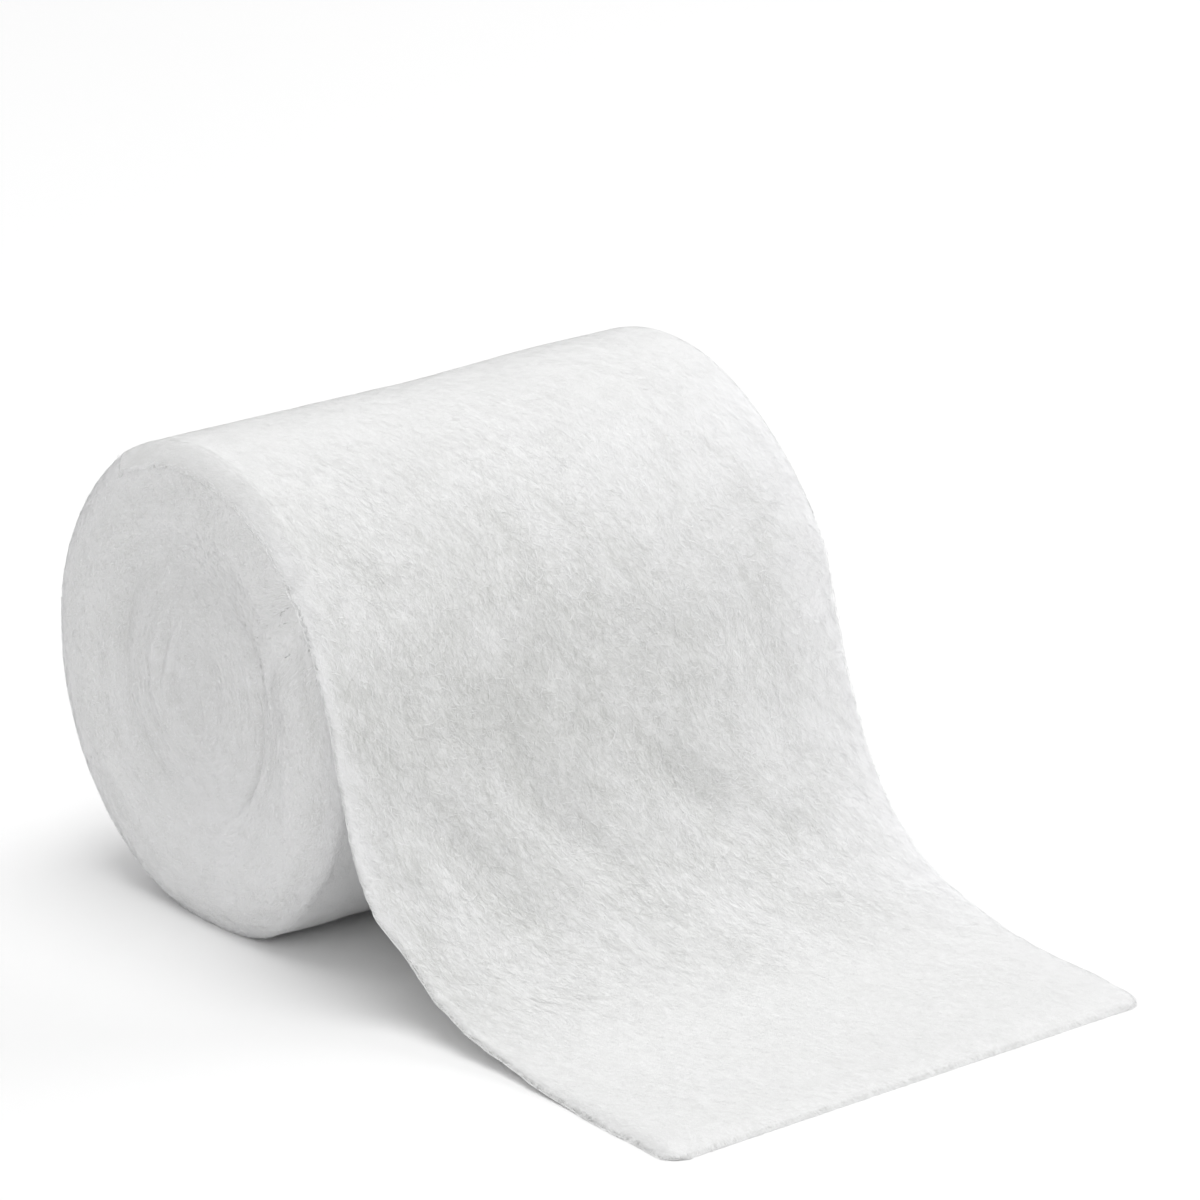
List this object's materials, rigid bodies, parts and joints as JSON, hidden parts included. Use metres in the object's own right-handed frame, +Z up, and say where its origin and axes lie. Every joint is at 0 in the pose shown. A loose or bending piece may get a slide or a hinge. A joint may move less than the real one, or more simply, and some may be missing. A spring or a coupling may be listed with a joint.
{
  "type": "cast padding roll",
  "caption": "Soft white undercast padding rolled up and lying on its side, with its loose end running down in a curve and lying flat in front.",
  "frame": {"origin": "on the surface that the roll lies on, under the middle of the whole part", "axes": "+X along the roll's axis, -Y from the roll towards the loose end's tip, +Z up"},
  "size_m": [0.1, 0.1634, 0.0796],
  "materials": {
    "padding": "soft matt non-woven fibre"
  },
  "bodies": {
    "root": {"wound_roll": "padding", "loose_end": "padding"}
  },
  "joints": []
}
